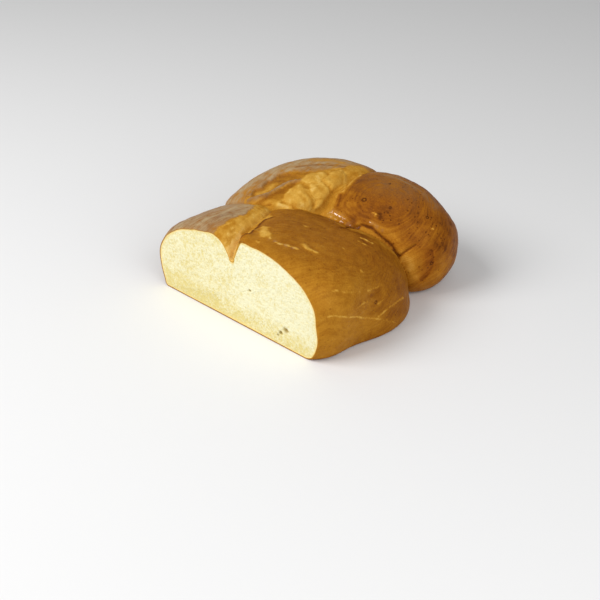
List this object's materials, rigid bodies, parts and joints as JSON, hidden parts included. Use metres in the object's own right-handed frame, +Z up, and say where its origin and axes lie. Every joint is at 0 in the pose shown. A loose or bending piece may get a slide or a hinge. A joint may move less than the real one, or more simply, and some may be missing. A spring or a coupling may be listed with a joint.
{
  "type": "portuguese sweet bread",
  "caption": "Plaited sweet bread loaf with a glazed brown crust over swollen strands, cut flat across at one end to show its pale yellow crumb.",
  "frame": {"origin": "centre of the bounding box's underside, where the loaf stands on the table", "axes": "+X across the loaf, +Y along the loaf away from the cut face, +Z up"},
  "size_m": [0.187, 0.192, 0.0784],
  "materials": {
    "crust": "egg-glazed baked crust, warm brown with a soft sheen on the crests and paler gold in the seams",
    "crumb": "dull, fine pale yellow crumb with small pits"
  },
  "bodies": {
    "root": {"loaf": "crust"}
  },
  "joints": []
}
